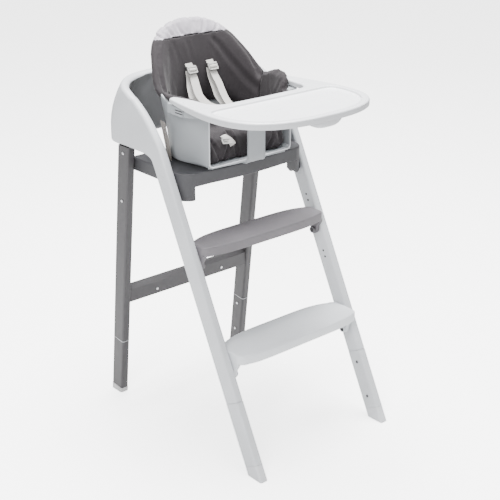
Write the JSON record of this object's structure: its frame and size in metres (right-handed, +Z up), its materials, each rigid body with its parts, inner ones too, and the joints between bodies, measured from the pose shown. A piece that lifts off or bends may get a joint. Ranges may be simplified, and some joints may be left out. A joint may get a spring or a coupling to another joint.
{
  "type": "baby high chair",
  "caption": "A-frame baby high chair with a backrest hoop, padded lift-off baby seat with harness, sliding tray, height-adjustable footrest and a lower step.",
  "frame": {"origin": "on the floor, below the centre of the bounding box", "axes": "+Z up; the chair faces -Y; +X is the child's left, and X = 0 is the plane of symmetry"},
  "size_m": [0.4722, 0.655, 1.0552],
  "materials": {
    "belt_webbing": "beige grey woven webbing",
    "buckle_plastic": "light grey moulded",
    "dark_fabric": "dark grey coated woven cloth",
    "dark_leg_paint": "dark grey satin powder coat",
    "foot_rubber": "mid grey, matt",
    "footrest_plastic": "mid warm grey, fine grain",
    "hoop_plastic": "light grey, fine satin",
    "light_leg_paint": "light grey satin powder coat",
    "light_plastic": "light grey, fine satin",
    "light_webbing": "light grey woven webbing",
    "plate_plastic": "dark grey, fine grain",
    "silver_fabric": "silver grey coated woven cloth",
    "tray_plastic": "near-white, soft gloss",
    "zinc_steel": "bright zinc plate"
  },
  "bodies": {
    "frame": {"backrest_hoop": "hoop_plastic", "crossbar_screw_left": "zinc_steel", "crossbar_screw_right": "zinc_steel", "front_foot_left": "foot_rubber", "front_foot_right": "foot_rubber", "front_leg_lower_left": "light_leg_paint", "front_leg_lower_right": "light_leg_paint", "front_leg_upper_left": "light_leg_paint", "front_leg_upper_right": "light_leg_paint", "front_screw_low_left": "zinc_steel", "front_screw_low_right": "zinc_steel", "front_screw_top_left": "zinc_steel", "front_screw_top_right": "zinc_steel", "lower_step": "light_plastic", "rear_crossbar": "dark_leg_paint", "rear_foot_left": "foot_rubber", "rear_foot_right": "foot_rubber", "rear_hoop_screw_left": "zinc_steel", "rear_hoop_screw_right": "zinc_steel", "rear_leg_lower_left": "dark_leg_paint", "rear_leg_lower_right": "dark_leg_paint", "rear_leg_upper_left": "dark_leg_paint", "rear_leg_upper_right": "dark_leg_paint", "rear_plate_screw_left": "zinc_steel", "rear_plate_screw_right": "zinc_steel", "rear_screw_low_left": "zinc_steel", "rear_screw_low_right": "zinc_steel", "rear_screw_top_left": "zinc_steel", "rear_screw_top_right": "zinc_steel", "step_bolt_left": "zinc_steel", "step_bolt_right": "zinc_steel"},
    "seat_plate": {"fixing_belt_left": "belt_webbing", "fixing_belt_right": "belt_webbing", "plate_bolt_left": "zinc_steel", "plate_bolt_right": "zinc_steel", "seat_plate": "plate_plastic"},
    "footrest": {"footrest": "footrest_plastic", "footrest_bolt_left": "zinc_steel", "footrest_bolt_right": "zinc_steel"},
    "baby_seat": {"back_cushion": "dark_fabric", "buckle_body": "buckle_plastic", "crotch_strap": "light_webbing", "head_panel": "silver_fabric", "seat_cushion": "dark_fabric", "seat_shell": "light_plastic", "shoulder_strap_left": "light_webbing", "shoulder_strap_right": "light_webbing", "side_wing_left": "dark_fabric", "side_wing_right": "dark_fabric", "strap_adjuster": "buckle_plastic", "strap_slider_left": "buckle_plastic", "strap_slider_right": "buckle_plastic", "waist_strap_left": "light_webbing", "waist_strap_right": "light_webbing"},
    "tray": {"tray": "tray_plastic"},
    "tray_handle": {"tray_handle": "tray_plastic"},
    "tray_latch_left": {"tray_latch_left": "light_plastic"},
    "tray_latch_right": {"tray_latch_right": "light_plastic"},
    "buckle_button": {"buckle_button": "plate_plastic"}
  },
  "joints": [
    {"name": "seat_plate_height", "type": "slide", "parent": "frame", "child": "seat_plate", "axis": [0, -0.4451, -0.8955], "range_m": [0, 0.081]},
    {"name": "footrest_height", "type": "slide", "parent": "frame", "child": "footrest", "axis": [0, -0.4451, -0.8955], "range_m": [-0.081, 0.081]},
    {"name": "baby_seat_lift", "type": "slide", "parent": "seat_plate", "child": "baby_seat", "axis": [0, 0, 1], "range_m": [0, 0.1]},
    {"name": "tray_slide", "type": "slide", "parent": "baby_seat", "child": "tray", "axis": [0, -1, 0], "range_m": [0, 0.12]},
    {"name": "tray_handle_pull", "type": "slide", "parent": "tray", "child": "tray_handle", "axis": [0, -1, 0], "range_m": [0, 0.008], "stiffness_N_per_m": 600},
    {"name": "tray_latch_left_release", "type": "slide", "parent": "tray", "child": "tray_latch_left", "axis": [1, 0, 0], "range_m": [0, 0.004]},
    {"name": "tray_latch_right_release", "type": "slide", "parent": "tray", "child": "tray_latch_right", "axis": [-1, 0, 0], "range_m": [0, 0.004]},
    {"name": "buckle_button_press", "type": "slide", "parent": "baby_seat", "child": "buckle_button", "axis": [0, 1, 0], "range_m": [0, 0.0025], "stiffness_N_per_m": 800}
  ],
  "couplings": [
    {"joint": "tray_latch_left_release", "follows": "tray_handle_pull", "ratio": 0.5},
    {"joint": "tray_latch_right_release", "follows": "tray_handle_pull", "ratio": 0.5}
  ]
}
